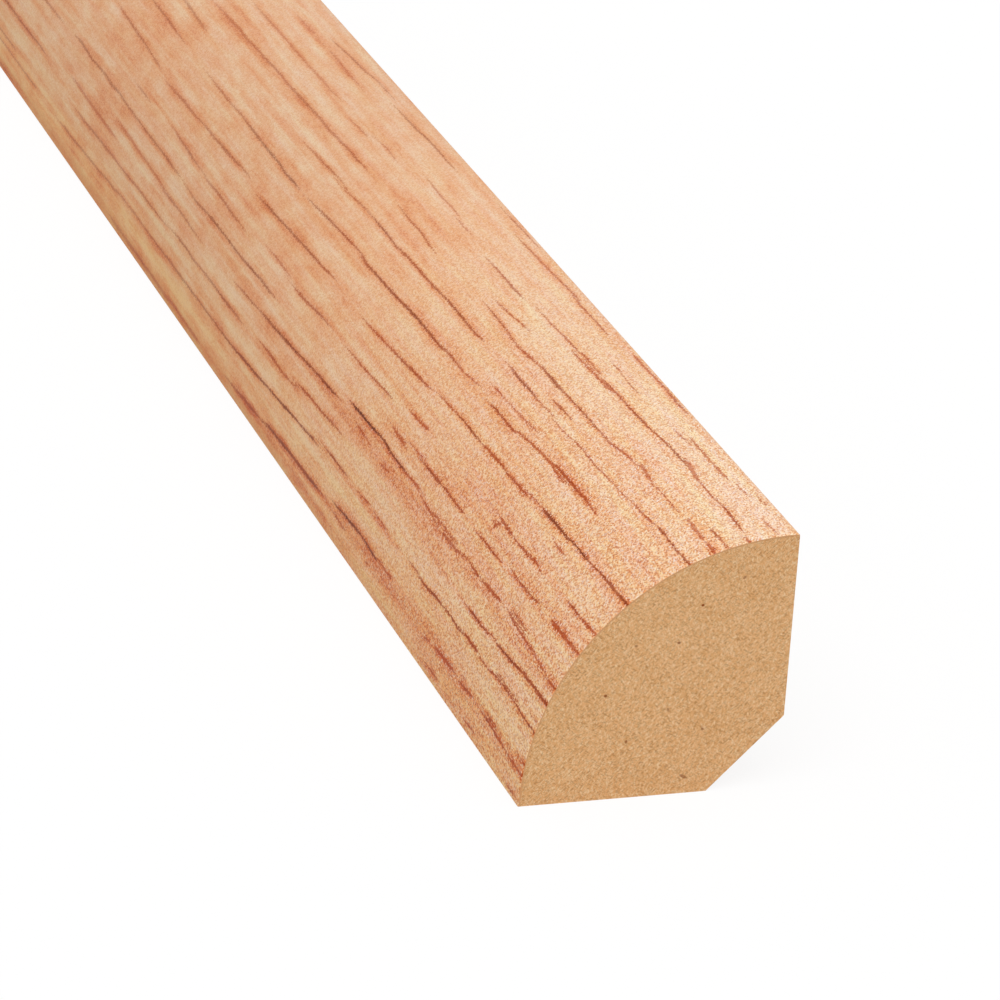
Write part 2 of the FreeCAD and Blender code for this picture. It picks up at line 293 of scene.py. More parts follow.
def pore_fields(along, across, pores, draw):
    """Grids about the nearest pore of each point, with lengths in millimetres: the signed distance across
    from its middle line, its half width there, which tapers to both ends and is negative past them, its ink,
    its blackness, and the depth inside it, which is the half width less the distance."""
    fields = np.zeros((len(PORE_FIELDS), along.size, across.size))
    fields[0], fields[1], fields[4] = 1, -1, -2
    for start, end, first, last, widest, strength, blackness in pores:
        run = slice(*np.searchsorted(along, (start - MARGIN, end + MARGIN)))
        u, length = along[run], end - start
        middle = first + (last - first) * (u - start) / length + SWAY * wander(u, 2.5, draw)
        times = np.interp(start, TAPER_PLACES, TAPER_TIMES)
        taper_in, taper_out = min(TAPER_IN * times, 0.35 * length), min(TAPER_OUT * times, 0.45 * length)
        taper = np.minimum(1, np.minimum((u - start) / taper_in, (end - u) / taper_out))
        half_width = widest * np.minimum(1, 2 * taper) * np.interp(u, WIDTH_PLACES, WIDTH_LEFT)
        half_width *= np.clip(1 + UNEVEN * wander(u, 2, draw), 0.75, 1.3)
        ink = strength * np.clip(1.5 * taper, 0.3, 1) * np.clip(1 + UNEVEN * wander(u, 3, draw), 0.6, 1.2)
        black = np.clip(blackness + 0.15 * wander(u, 5, draw), 0, 1)
        offset = across - middle[:, None]
        depth = half_width[:, None] - np.abs(offset)
        nearer = depth > fields[4, run]
        for field, values in zip(fields, (offset, half_width[:, None], ink[:, None], black[:, None], depth)):
            field[run] = np.where(nearer, values, field[run])
    return fields


def wash_field(along, across, washes):
    """The sum of the washes. Each is its strength times two bells: exp(-s^4) along it, where s is WASH_ENDS
    at its ends and 0 at its middle, and exp(-t^2) across it, where t is 1 at its half width."""
    total = np.zeros((along.size, across.size))
    for start, end, first, last, half_width, strength in washes:
        reach = (end - start) / 2
        run = slice(*np.searchsorted(along, (start - reach, end + reach)))
        share = (along[run] - start) / (end - start)
        middle = first + (last - first) * share
        along_it = np.exp(-(2 * WASH_ENDS * (share - 0.5)) ** 4)
        across_it = np.exp(-((across - middle[:, None]) / half_width) ** 2)
        total[run] += strength * along_it[:, None] * across_it
    return total


# %% [markdown]
# ## The skin's mesh
# The skin is a closed loop, outside, toe edge, inside and top edge, carried along the strip. Its outside has
# rows an eighth of a millimetre apart, so that the pores are real grooves. Columns are close together only
# near the sawn end, where the camera is, and each long stretch of the strip has the same number of them.

# %% Columns and rows of the skin
FOLDS = 9
FOLD = LENGTH / FOLDS
OUTSIDE_ROWS, INSIDE_ROWS = 232, 24
FINEST_TO, FINE_TO = 50 * MM, 150 * MM

cut_edge = np.array([0, 0.06, 0.12, 0.25, 0.6]) * MM
columns = np.concatenate([
    cut_edge,
    np.linspace(cut_edge[-1], FINEST_TO, 65)[1:],
    np.linspace(FINEST_TO, FINE_TO, 41)[1:],
    np.linspace(FINE_TO, FOLD, 17)[1:],
    np.linspace(FOLD, LENGTH, (FOLDS - 1) * 30 + 1)[1:],
])
rows = np.linspace(0, ARC, OUTSIDE_ROWS + 1)
pore_numbers = pore_fields(columns / MM, rows / MM, pores, draw)
wash = wash_field(columns / MM, rows / MM, washes)
inside = pore_numbers[PORE_FIELDS.index("inside")]
print(f"skin grid {columns.size} x {rows.size}, {np.mean(inside > 0):.1%} of it is pores")

# %% The skin as a loop carried along the strip
PORE_DEPTH, PORE_SLOPE = 0.008 * MM, 0.1
ARRIS_WIDTH, ARRIS_DROP = 0.3 * MM, 0.1 * MM
CUT_WIDTH, CUT_DROP = 0.15 * MM, 0.05 * MM

u, v = columns[:, None], rows[None, :]
depth = PORE_DEPTH * np.clip(inside / PORE_SLOPE + 0.5, 0, 1)
depth += eased(v, ARRIS_WIDTH, ARRIS_DROP)
depth += eased(np.minimum(u, LENGTH - u), CUT_WIDTH, CUT_DROP)
outer_side = round_face(u, v, depth)
inner_side = round_face(u, np.linspace(ARC, 0, INSIDE_ROWS + 1)[None, :], SKIN)
skin_points = np.concatenate([outer_side, inner_side], axis=1)
print("skin loop of", skin_points.shape[1], "points on", skin_points.shape[0], "columns")


# %% [markdown]
# ## Meshes from arrays
# A loop carried along columns makes a tube of quads. Blender wants points, faces and, for each corner of
# each face, a place on a map. Two maps are made: one in millimetres for the finish to read, and one called
# OFBake, on which a long strip is folded into rows so that its picture stays sharp when it is baked.

# %% Helpers for swept loops
ROW_GAP = 0.02
SHARP_ANGLE = math.radians(40)


def tube_quads(columns, loop):
    """Quads of a closed loop on a number of columns, with their fronts outwards."""
    index = np.arange(columns * loop).reshape(columns, loop)
    here, there = index[:-1], index[1:]
    return np.stack([here, there, np.roll(there, -1, 1), np.roll(here, -1, 1)], -1).reshape(-1, 4)


def quad_corners(column_values, loop_values):
    """Spread values at a quad's two columns and two loop points over its four corners."""
    first, second = column_values
    low, high = loop_values
    along = np.stack([first, second, second, first], -1)[:, None]
    around = np.stack([low, low, high, high], -1)[None]
    return np.broadcast_arrays(along, around)


def folded(along, around, fold, levels, left, right):
    """Lay a strip on the bake map in rows, from left to right. Row n lies between levels n and n + 1, with a
    gap on both sides."""
    row = np.floor(along.mean(-1, keepdims=True) / fold).astype(int)
    across = left + (right - left) * (along / fold - row)
    up = ROW_GAP + (1 - 2 * ROW_GAP) * around
    return np.stack([across, levels[row] + (levels[row + 1] - levels[row]) * up], -1)


def add_piece(name, points, faces, maps, numbers, finish):
    """A mesh at the origin, smooth but for its arrises, with maps, and numbers for points or faces."""
    mesh = bpy.data.meshes.new(name)
    mesh.from_pydata(points, [], faces)
    for title, corners in maps.items():
        mesh.uv_layers.new(name=title).data.foreach_set("uv", corners.astype(np.float32).ravel())
    for title, values in numbers.items():
        layer = mesh.attributes.new(title, "FLOAT", "POINT" if values.size == len(points) else "FACE")
        layer.data.foreach_set("value", values.astype(np.float32).ravel())
    mesh.shade_smooth()
    mesh.set_sharp_from_angle(angle=SHARP_ANGLE)
    mesh.materials.append(finish)
    piece = bpy.data.objects.new(name, mesh)
    bpy.context.collection.objects.link(piece)
    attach(piece, "root")
    triangles = sum(len(face) - 2 for face in faces)
    print(f"{name}: {len(points)} points, {triangles} triangles")
    return piece


# %% [markdown]
# ## Shader sums as Python
# A material is a net of nodes, and sums in it are Math nodes. Wrapping a socket in a small class lets Python
# operators add those nodes, so that a finish reads like a formula.

# %% A socket that can be used in sums
class Shade:
    """A socket of a node tree. Sums with numbers or other sockets add Math nodes."""

    def __init__(self, socket):
        self.socket = socket

    @classmethod
    def node(cls, tree, kind, settings=None, sockets=None, output=0):
        """Add a node of a kind, make its settings, then fill or link its sockets, and wrap one output."""
        made = tree.nodes.new(kind)
        for name, value in (settings or {}).items():
            setattr(made, name, value)
        for name, value in (sockets or {}).items():
            if isinstance(value, cls):
                tree.links.new(value.socket, made.inputs[name])
            else:
                made.inputs[name].default_value = value
        return cls(made.outputs[output])

    def math(self, operation, first, second, clamp=False):
        return self.node(self.socket.id_data, "ShaderNodeMath",
                         {"operation": operation, "use_clamp": clamp}, {0: first, 1: second})

    def __add__(self, other):
        return self.math("ADD", self, other)

    def __sub__(self, other):
        return self.math("SUBTRACT", self, other)

    def __rsub__(self, other):
        return self.math("SUBTRACT", other, self)

    def __mul__(self, other):
        return self.math("MULTIPLY", self, other)

    __radd__, __rmul__ = __add__, __mul__

    def size(self):
        """The value without its sign."""
        return self.math("ABSOLUTE", self, 0.0)

    def held(self):
        """The value, held between 0 and 1."""
        return self.math("ADD", self, 0.0, clamp=True)

    def between(self, low, high):
        """0 below low, 1 above high and a smooth step between them."""
        return self.node(self.socket.id_data, "ShaderNodeMapRange", {"interpolation_type": "SMOOTHSTEP"},
                         {"Value": self, "From Min": low, "From Max": high})


def mix(factor, first, second):
    """From the first colour to the second as factor goes from 0 to 1."""
    return Shade.node(factor.socket.id_data, "ShaderNodeMix", {"data_type": "RGBA"},
                      {0: factor, 6: first, 7: second}, output=2)


WHITE = (1.0, 1.0, 1.0, 1.0)


def display(red, green, blue):
    """A colour as a screen shows it, 0 to 255, turned into the linear light that shaders use."""
    share = np.array([red, green, blue]) / 255
    linear = np.where(share < 0.04045, share / 12.92, ((share + 0.055) / 1.055) ** 2.4)
    return (*linear.tolist(), 1.0)


def noise(place, size, detail=2.0, roughness=0.5, dimensions="3D"):
    """Noise whose cells are about size long each way, in the units of place."""
    tree = place.socket.id_data
    cells = Shade.node(tree, "ShaderNodeVectorMath", {"operation": "DIVIDE"}, {0: place, 1: size})
    return Shade.node(tree, "ShaderNodeTexNoise", {"noise_dimensions": dimensions},
                      {"Vector": cells, "Scale": 1.0, "Detail": detail, "Roughness": roughness})


def carried(tree, name):
    """A number that the mesh carries for each of its points or faces."""
    return Shade.node(tree, "ShaderNodeAttribute", {"attribute_name": name}, output=2)


def new_finish(name):
    """A material with an empty Principled shader, and its node tree."""
    finish = bpy.data.materials.new(name)
    finish.use_nodes = True
    return finish, finish.node_tree, finish.node_tree.nodes["Principled BSDF"]


# %% [markdown]
# ## The printed finish
# The oak is only printed: ink on a sheet of paper, under a satin film. So the finish is built up as a print
# is. First comes the ground, a level of ink that goes from cream over orange to rust. It is made of soft
# streaks and fibres, the washes, a blush beside each pore and the fine dots of the printing. Pale glints lie
# over it, which are painted highlights of the film's fine grain. Over it lie the pores, each a red-brown
# lens with a darker core. Last, the sheet is tinted. Its dark dots are partly printed ink and partly painted
# shade of that fine grain. It is deeper lower down, partly in the print and partly as painted shade, golden
# by the toe, yellower and pinker in streaks, and a little darker away from the near end, which is painted
# shade. There the dots and fibres give way to soft clouds, the pores are paler and softer, and the toe gets
# a browner rim, which is painted shade too. That holds as far as the picture shows the strip: past it, the
# print is as sharp and light as at the near end.

# %% Colours and tints of the print, with painted highlights and painted shade among them
CREAM, ORANGE, RUST = display(255, 229, 190), display(246, 177, 122), display(218, 116, 62)
# The glint colour is a painted highlight, for the pale specks of the film's fine grain.
PAINTED_GLINT, PORE_RED, PORE_BLACK = display(255, 243, 230), display(190, 80, 10), display(94, 46, 22)
CUT_PAPER = display(214, 160, 112)
# The dot tint is partly printed ink and partly painted shade of the fine grain. The deeper tint lower down
# is partly print and partly painted shade.
INK_AND_SHADE_DOT, DEEPER_AND_SHADED, GOLDEN = (0.76, 0.67, 0.63, 1.0), (0.92, 0.82, 0.73, 1.0), (1.06, 1.0, 0.82, 1.0)
# The brown rim tint by the toe is painted shade.
PAINTED_TOE_SHADE, GOLDEN_FAR_OFF = (0.9, 0.78, 0.66, 1.0), (1.02, 0.965, 0.83, 1.0)
# The two tints that darken the sheet away from the near end are painted shade.
SHADED_FARTHER_ALONG, SHADED_FAR_OFF = (0.88, 0.87, 0.91, 1.0), (0.94, 0.945, 0.955, 1.0)
YELLOWER, PINKER = (1.0, 1.01, 0.93, 1.0), (1.0, 0.99, 1.07, 1.0)

# %% Places and marks on the printed sheet
# Where a change begins and is complete, in millimetres: from the near end, then from the top arris.
FARTHER, DISTANT, PAST_THE_PICTURE = (0, 80), (60, 100), (150, 300)
# The rim band by the toe holds painted shade.
LOW_DOWN, BY_THE_TOE, GOLD_BAND, TOE_SHADE_BAND = (-2, 20), (20, 30), (25.5, 28), (28.2, 29.4)
# How long and wide the marks are, in millimetres.
STREAK, FIBRE, CLOUD, HUE = (28, 0.7, 1), (1.6, 0.14, 1), (5, 1.3, 1), (10, 0.8, 1)
RAG, DOT = (1.0, 0.4, 1), (0.11, 0.10, 1)


def random_cells(place, size):
    """Small cells about size across, with two random numbers from 0 to 1 in each."""
    tree = place.socket.id_data
    cells = Shade.node(tree, "ShaderNodeVectorMath", {"operation": "DIVIDE"}, {0: place, 1: size})
    colours = Shade.node(tree, "ShaderNodeTexVoronoi", {"voronoi_dimensions": "2D"},
                         {"Vector": cells, "Scale": 1.0}, output=1)
    return (Shade.node(tree, "ShaderNodeSeparateColor", {}, {0: colours}, output=n) for n in (0, 1))


def printed_sheet(tree):
    """What the layers of the print share: places, as masks from 0 to 1, marks, and the mesh's numbers."""
    place = Shade.node(tree, "ShaderNodeUVMap", {"uv_map": "grain"})
    along, round_the_arc = (Shade.node(tree, "ShaderNodeSeparateXYZ", {}, {0: place}, output=n)
                            for n in (0, 1))
    pictured = 1 - along.between(*PAST_THE_PICTURE)
    farther, distant = (along.between(*reach) * pictured for reach in (FARTHER, DISTANT))
    dots, glints = random_cells(place, DOT)
    return SimpleNamespace(
        place=place, farther=farther, distant=distant, dots=dots, glints=glints,
        low_down=round_the_arc.between(*LOW_DOWN), by_the_toe=round_the_arc.between(*BY_THE_TOE),
        # The rim mask is where painted shade darkens the toe.
        gold=round_the_arc.between(*GOLD_BAND) * distant, toe_shade=round_the_arc.between(*TOE_SHADE_BAND) * farther,
        fibres=noise(place, FIBRE, 2, 0.6, "2D"),
        **{name: carried(tree, name) for name in (*PORE_FIELDS, "wash", "cut")})


def fading(sheet, near, far):
    """A share of ink that goes from one value at the near end to another farther along."""
    return sheet.farther * (far - near) + near


# %% The ground of the print
# How strong each mark is: at the near end, and farther along.
STREAKS, FIBRES, CLOUDS, WASHES = (0.8, 0.6), (0.4, 0.2), (0.0, 0.6), (0.3, 0.2)
BLUSH, BLUSH_REACH = (0.4, 0.3), (-0.4, -0.6)
# Glints are painted highlights.
DOTS, PAINTED_GLINTS = (0.78, 0.28), (0.8, 0.15)


def ground(sheet):
    """A level of ink is the sum of the marks, which stand out more lower down. It sets a colour from cream
    over orange to rust, and pale glints lie over that, which are painted highlights of the film's fine
    grain."""
    streaks = noise(sheet.place, STREAK, 2, 0.6, "2D")
    clouds = noise(sheet.place, CLOUD, 2, 0.5, "2D")
    blush = sheet.inside.between(fading(sheet, *BLUSH_REACH), 0.0) * sheet.ink
    marks = ((streaks - 0.5, STREAKS), (sheet.fibres - 0.5, FIBRES), (clouds - 0.5, CLOUDS),
             (sheet.wash, WASHES), (blush, BLUSH))
    grain = sum(mark * fading(sheet, *share) for mark, share in marks)
    level = grain * (sheet.low_down * 0.5 + sheet.by_the_toe * 0.6 + 1) - sheet.by_the_toe * 0.05
    # The ink added lower down is partly print and partly painted shade, and the ink that changes farther
    # along is painted shade.
    level = level + sheet.low_down * 0.15 + sheet.farther * (0.1 - sheet.low_down * 0.18) + 0.33
    level = level + (sheet.dots - 0.5) * fading(sheet, *DOTS) * (sheet.low_down * 0.2 + 0.95)
    colour = mix(level.between(-0.2, 0.9), CREAM, ORANGE)
    colour = mix(level.between(0.6, 1.4), colour, RUST)
    # Pale glints, painted highlights of the film's fine grain.
    painted_glint = sheet.glints.between(0.6, 1.0) * (sheet.by_the_toe * 0.2 + fading(sheet, *PAINTED_GLINTS))
    return mix(painted_glint, colour, PAINTED_GLINT)


# %% Pores over the ground
# Depths inside a pore, in millimetres, at which its ink begins and is complete.
REACH, EDGE, CORE = (-0.14, -0.08), (-0.08, 0.03), (-0.03, 0.04)
SOFTER, RAGGED, SPECKLED = 0.05, 0.1, 0.12
# How much of its red edge a black pore loses: at the near end, and farther along.
EDGE_GIVES_WAY = (0.1, 0.4)


def with_pores(sheet, colour):
    """A pore's depth is its half width less the distance from its middle, made ragged and dotted. Its edge
    is red brown and its core darker, each where the depth is great enough."""
    rags = noise(sheet.place, RAG, 3, 0.7, "2D")
    depth = sheet.half_width - (sheet.offset + (rags - 0.5) * RAGGED).size() + (sheet.dots - 0.5) * SPECKLED
    soft = sheet.farther * SOFTER
    drawn = (sheet.inside + soft).between(*REACH) * (1 - sheet.distant * 0.4)
    edge = depth.between(EDGE[0] - soft, soft + EDGE[1]) * (sheet.ink * 0.4 + 0.6)
    edge = edge * (sheet.low_down * 0.15 + 0.85) * (1 - sheet.black * fading(sheet, *EDGE_GIVES_WAY))
    core = depth.between(CORE[0] - soft, soft + CORE[1]) * (sheet.ink * 0.75 + 0.25)
    core = core * (1 - sheet.glints * 0.4) * sheet.black
    return mix(core * drawn, mix(edge * drawn, colour, PORE_RED), PORE_BLACK)


# %% Tints over the whole sheet
# How strong the dots, partly printed ink and partly painted shade, and the yellow and pink streaks are: at
# the near end, and farther along.
INK_AND_SHADE_DOTS, HUES = (1.0, 0.3), (3.0, 1.2)


def tinted(sheet, colour):
    """The colour is multiplied by each tint, as far as that tint's mask goes. The dots are partly printed
    ink and partly painted shade, the deeper tone lower down is partly print and partly painted shade, and
    the brown rim by the toe and the darkening away from the near end are painted shade.
    """
    dotted = sheet.dots.between(0.3, 1.0) * fading(sheet, *INK_AND_SHADE_DOTS)
    yellow = (noise(sheet.place, HUE, 2, 0.6, "2D") - 0.5) * fading(sheet, *HUES) + 0.5
    tints = ((dotted, INK_AND_SHADE_DOT), (sheet.low_down, DEEPER_AND_SHADED), (sheet.by_the_toe, GOLDEN), (sheet.toe_shade, PAINTED_TOE_SHADE),
             (sheet.farther, SHADED_FARTHER_ALONG), (sheet.distant, SHADED_FAR_OFF), (sheet.gold, GOLDEN_FAR_OFF),
             (yellow, YELLOWER), (1 - yellow, PINKER))
    for mask, tint in tints:
        colour = Shade.node(colour.socket.id_data, "ShaderNodeVectorMath", {"operation": "MULTIPLY"},
                            {0: colour, 1: mix(mask, WHITE, tint)})
    return colour


# %% Printed oak
def printed_oak():
    """The print as a material, with plain paper where the sheet is cut and a fine grain to the touch."""
    finish, tree, shader = new_finish("printed_oak")
    sheet = printed_sheet(tree)
    colour = tinted(sheet, with_pores(sheet, ground(sheet)))
    tree.links.new(mix(sheet.cut, colour, CUT_PAPER).socket, shader.inputs["Base Color"])

    relief = sheet.fibres + sheet.dots * 0.3
    bump = Shade.node(tree, "ShaderNodeBump", {}, {"Height": relief, "Distance": 0.02 * MM, "Strength": 0.5})
    tree.links.new(bump.socket, shader.inputs["Normal"])
    shader.inputs["Roughness"].default_value = 0.5
    shader.inputs["Specular IOR Level"].default_value = 0.1
    return finish


# %% Maps of the skin
NEAR_ROW, ROWS_TOP, SIDE_GAP = 0.3, 0.95, 0.01
HIDDEN_LOW, HIDDEN_TALL = 0.96, 0.02
CAP_SIZE, NEAR_CAP, FAR_CAP = 0.012, (0.02, 0.985), (0.06, 0.985)


def skin_maps():
    """The map in millimetres and the folded bake map, for the tube's quads and then for its two end caps.
    The first row of the bake map, beside the near end, is the tallest. The hidden side and the caps lie in
    narrow strips above the rows."""
    loop = skin_points.shape[1]
    steps = np.arange(loop)
    ends = columns[:-1], columns[1:]
    row_ends = np.concatenate([rows, np.full(INSIDE_ROWS + 2, ARC)])
    along, around = quad_corners(ends, (row_ends[:-1], row_ends[1:]))
    grain = np.stack([along / MM, around / MM], -1)

    levels = np.concatenate([[0], np.linspace(NEAR_ROW, ROWS_TOP, FOLDS)])
    shown = folded(along, around / ARC, FOLD, levels, SIDE_GAP, 1 - SIDE_GAP)
    step = 1 / (loop - OUTSIDE_ROWS)
    hidden_steps = (steps - OUTSIDE_ROWS) * step
    hidden_along, hidden_around = quad_corners(ends, (hidden_steps, hidden_steps + step))
    hidden = np.stack([hidden_along / LENGTH, HIDDEN_LOW + HIDDEN_TALL * hidden_around], -1)
    bake = np.where((steps < OUTSIDE_ROWS)[None, :, None, None], shown, hidden)

    edge = skin_points[0, :, 1:]
    cap = (edge - edge.min(0)) / RADIUS
    caps = np.concatenate([cap * CAP_SIZE + NEAR_CAP, cap[::-1] * CAP_SIZE + FAR_CAP])
    return {"grain": np.concatenate([grain.reshape(-1, 2), np.zeros((2 * loop, 2))]),
            "OFBake": np.concatenate([bake.reshape(-1, 2), caps])}


# %% Make the skin
def make_skin():
    """The loop carried along the strip and closed at both ends, with the pores' numbers on its outside."""
    count, loop = skin_points.shape[:2]
    near_cap = np.arange(loop)
    far_cap = (near_cap + (count - 1) * loop)[::-1]
    faces = tube_quads(count, loop).tolist() + [near_cap.tolist(), far_cap.tolist()]
    no_pores = np.full((count, loop - rows.size), -1.0)
    numbers = {name: np.concatenate([values, no_pores], axis=1)
               for name, values in (*zip(PORE_FIELDS, pore_numbers), ("wash", wash))}
    numbers["cut"] = np.arange(len(faces)) >= len(faces) - 2
    piece = add_piece("printed_skin", skin_points.reshape(-1, 3), faces, skin_maps(), numbers, printed_oak())
    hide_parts("wood_grain_skin")


make_skin()

# %% [markdown]
# ## The core's mesh
# The core's outline is the arc under the skin, then the floor face, the bevel and the wall face. It is
# carried along the strip like the skin's loop. The sawn ends are what shows, so each has a fine grid: lines
# run from the flats to the arc, and the points on them are pressed in unevenly, as torn fibres are.

# %% Outline of the core
CORE_STEPS = 240
CORE_FOLDS, RINGS_PER_FOLD = 8, 6

inner_corner = np.array([WALL, FLOOR])
core_radius = RADIUS - SKIN
corners = inner_corner + np.array([[-core_radius, 0], [-BEVEL, 0], [0, BEVEL], [0, core_radius]])
side_lengths = np.linalg.norm(np.diff(corners, axis=0), axis=1)
bends = np.concatenate([[0], np.cumsum(side_lengths)])
steps_at_bends = np.rint(bends / bends[-1] * CORE_STEPS)
places = np.interp(np.arange(CORE_STEPS + 1), steps_at_bends, bends)
flats = np.stack([np.interp(places, bends, corners[:, axis]) for axis in (0, 1)], -1)
angle = np.linspace(math.pi / 2, 0, CORE_STEPS + 1)
arc = inner_corner + core_radius * np.stack([-np.sin(angle), np.cos(angle)], -1)
print(f"core outline: flats {side_lengths.round(5) / MM} mm, arc {core_radius * math.pi / 2 / MM:.2f} mm")


# %% Torn fibres on a sawn end
TORN_CELL = 0.55 * MM, 0.16 * MM
TURNS = 6


def lattice(y, z, size, turn, draw):
    """Random heights on a square net with cells of two sizes, turned by an angle and blended smoothly."""
    across = (y * math.cos(turn) + z * math.sin(turn)) / size[0]
    up = (z * math.cos(turn) - y * math.sin(turn)) / size[1]
    across, up = across - across.min(), up - up.min()
    i, j = np.floor(across).astype(int), np.floor(up).astype(int)
    f, g = ((part ** 2) * (3 - 2 * part) for part in (across - i, up - j))
    height = draw.random((i.max() + 2, j.max() + 2))
    return ((height[i, j] * (1 - f) + height[i + 1, j] * f) * (1 - g)
            + (height[i, j + 1] * (1 - f) + height[i + 1, j + 1] * f) * g)


def torn_fibres(section, draw):
    """Relief from 0 to 1: nets of long narrow cells at several turns, averaged and stretched to fit."""
    y, z = section[..., 0], section[..., 1]
    turns = np.linspace(0, math.pi, TURNS + 1)[:-1]
    nets = [lattice(y, z, TORN_CELL, turn, draw) for turn in turns]
    relief = np.mean(nets, axis=0)
    return (relief - relief.min()) / np.ptp(relief)


# %% Sawn ends as grids between the flats and the arc
END_ROWS, FLUSH_ROWS = 100, 5
FIBRE_DEPTH = 0.03 * MM

share = np.linspace(0, 1, END_ROWS + 1)
section = flats[:, None] * (1 - share[None, :, None]) + arc[:, None] * share[None, :, None]
flush_edge = np.clip(END_ROWS / FLUSH_ROWS * np.minimum(share, 1 - share), 0, 1)
print("each sawn end has", section.shape[0] * section.shape[1], "points")


def end_points(x, inwards, draw):
    """The section's points on the plane x, pressed inwards by the torn fibres, but not along the outline."""
    press = FIBRE_DEPTH * flush_edge * torn_fibres(section, draw)
    return np.concatenate([(x + inwards * press)[..., None], section], -1)


near_face = end_points(NEAR_END, -1, draw)
far_face = end_points(NEAR_END - LENGTH, 1, draw)

# %% [markdown]
# ## The fibreboard finish
# Fibreboard is pressed from wood flour and short fibres. Close up it is a fine felt of lighter and darker
# fibres that lie every way, with a few dark specks of bark. Raw board has no film on it, so it is dull.
# Fibres are noise drawn out in one direction and cut at its peaks, and a Mapping node turns each set. The
# milled sides are smoother than the sawn ends, and show the faint cross marks of the cutter.

# %% Raw fibreboard
BOARD_LIGHT, BOARD_DEEP = display(243, 191, 137), display(217, 158, 97)
FLECK_LIGHT, FLECK_DARK, BARK = display(250, 220, 176), display(172, 112, 54), display(140, 60, 0)
# Each speck: distance from the wall face, height, half length, half width, turn and strength.
SPECKS = [
    (6.67, 14.2, 0.10, 0.08, 20, 1.0), (8.19, 11.5, 0.10, 0.09, 0, 0.8), (3.78, 16.05, 0.13, 0.08, 40, 0.6),
    (13.25, 7.9, 0.11, 0.10, 0, 0.85), (11.5, 4.3, 0.11, 0.08, 60, 0.75), (5.97, 4.8, 0.10, 0.09, 0, 0.6),
    (7.1, 1.26, 0.30, 0.10, 150, 0.6), (11.3, 11.5, 0.10, 0.08, 0, 0.6), (8.6, 6.5, 0.13, 0.07, 120, 0.55),
]
# Sizes in millimetres.
FELT, CLUMPS, CUTTER = (0.12, 0.12, 0.12), (2.5, 2.5, 2.5), (0.8, 60, 60)
BOARD_FIBRE, SPECK_DEPTH = (0.3, 0.35, 0.06), 0.3
# Turns of the lighter and of the darker fibres, in degrees.
LIGHT_TURNS, DARK_TURNS = (35, 60, 110), (45, 150)


def board_fibres(place, turn):
    """Peaks of noise drawn out in one direction across the strip, as a mask."""
    turned = Shade.node(place.socket.id_data, "ShaderNodeMapping", {"vector_type": "TEXTURE"},
                        {"Vector": place, "Rotation": (math.radians(turn), 0, 0), "Scale": BOARD_FIBRE})
    return noise(turned, (1, 1, 1), 1, 0.5).between(0.58, 0.68)


def speck(place, from_wall, up, half_length, half_width, turn):
    """A small dark oval on the near end, as a mask that is 1 inside."""
    centre = (NEAR_END / MM, WALL / MM - from_wall, up)
    local = Shade.node(place.socket.id_data, "ShaderNodeMapping", {"vector_type": "TEXTURE"},
                       {"Vector": place, "Location": centre, "Rotation": (math.radians(turn), 0, 0),
                        "Scale": (SPECK_DEPTH, half_length, half_width)})
    distance = Shade.node(place.socket.id_data, "ShaderNodeVectorMath", {"operation": "LENGTH"},
                          {0: local}, output=1)
    return 1 - distance.between(0.8, 1.4)


def raw_fibreboard():
    """Felt and clumps between two board colours, then light and dark fibres, cutter marks and specks."""
    finish, tree, shader = new_finish("raw_fibreboard")
    metres = Shade.node(tree, "ShaderNodeTexCoord", output=3)
    place = Shade.node(tree, "ShaderNodeVectorMath", {"operation": "SCALE"}, {0: metres, "Scale": 1 / MM})
    sawn = carried(tree, "sawn")
    felt = noise(place, FELT, 2, 0.6)
    clumps = noise(place, CLUMPS, 2, 0.5)
    light, dark = (sum(board_fibres(place, turn) for turn in turns).held()
                   for turns in (LIGHT_TURNS, DARK_TURNS))
    cutter_marks = (1 - sawn) * noise(place, CUTTER, 1, 0.5).between(0.4, 0.7)

    colour = mix((felt + clumps * 0.3 - 0.15).between(0.15, 0.85), BOARD_DEEP, BOARD_LIGHT)
    colour = mix(light * (sawn * 0.4 + 0.3), colour, FLECK_LIGHT)
    colour = mix(dark * (sawn * 0.4 + 0.2), colour, FLECK_DARK)
    colour = mix(cutter_marks * 0.3, colour, BOARD_DEEP)
    for *shape, strength in SPECKS:
        colour = mix(speck(place, *shape) * strength, colour, BARK)
    tree.links.new(colour.socket, shader.inputs["Base Color"])

    relief = (felt + light) * (sawn * 0.7 + 0.3) - cutter_marks
    bump = Shade.node(tree, "ShaderNodeBump", {}, {"Height": relief, "Distance": 0.04 * MM, "Strength": 0.4})
    tree.links.new(bump.socket, shader.inputs["Normal"])
    shader.inputs["Roughness"].default_value = 0.9
    shader.inputs["Specular IOR Level"].default_value = 0.2
    return finish


# %% Make the core
TUBE_LEFT, TUBE_RIGHT = 0.34, 0.99
END_SIZE, NEAR_PLACE, FAR_PLACE = 0.3, (0.02, 0.02), (0.02, 0.36)


def end_quads(index):
    """Faces of an end grid, seen from the near end. Its first and last lines shrink to a point each, the
    toe and the top, so triangles close it there."""
    line, next_line = index[1:-2], index[2:-1]
    middle = np.stack([line[:, :-1], next_line[:, :-1], next_line[:, 1:], line[:, 1:]], -1).reshape(-1, 4)
    toe = np.stack([index[0, :-1], index[1, :-1], index[1, 1:]], -1)
    top = np.stack([index[-2, :-1], index[-1, :-1], index[-2, 1:]], -1)
    return middle.tolist() + toe.tolist() + top.tolist()


